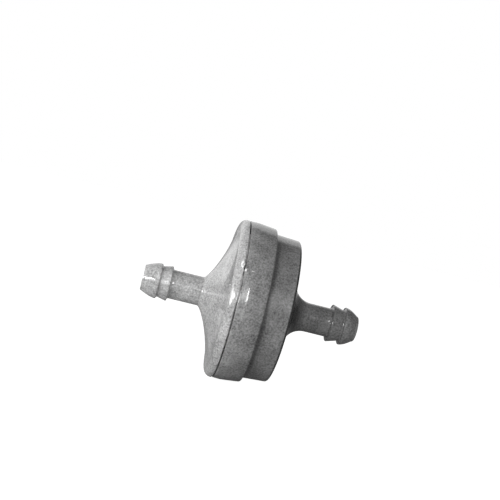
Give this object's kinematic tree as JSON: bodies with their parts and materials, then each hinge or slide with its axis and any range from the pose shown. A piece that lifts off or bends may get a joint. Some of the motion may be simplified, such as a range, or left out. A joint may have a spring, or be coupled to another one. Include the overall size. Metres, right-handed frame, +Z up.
{
  "type": "inline fuel filter",
  "caption": "Drum-shaped inline fuel filter with a barbed hose stem at each end and a mesh screen inside, for small-engine fuel hose.",
  "frame": {"origin": "on the filter's axis, half way between the two stem ends", "axes": "+X along the axis in the direction of flow, from the inlet stem to the outlet stem; +Z up with the filter lying level"},
  "size_m": [0.0484, 0.0352, 0.0352],
  "materials": {
    "housing": "semi-gloss moulded grey plastic with faint mottling",
    "carrier": "plain moulded nylon",
    "screen": "woven nylon mesh"
  },
  "bodies": {
    "root": {"inlet_half": "housing", "outlet_half": "housing", "screen_carrier": "carrier", "filter_screen": "screen"}
  },
  "joints": []
}
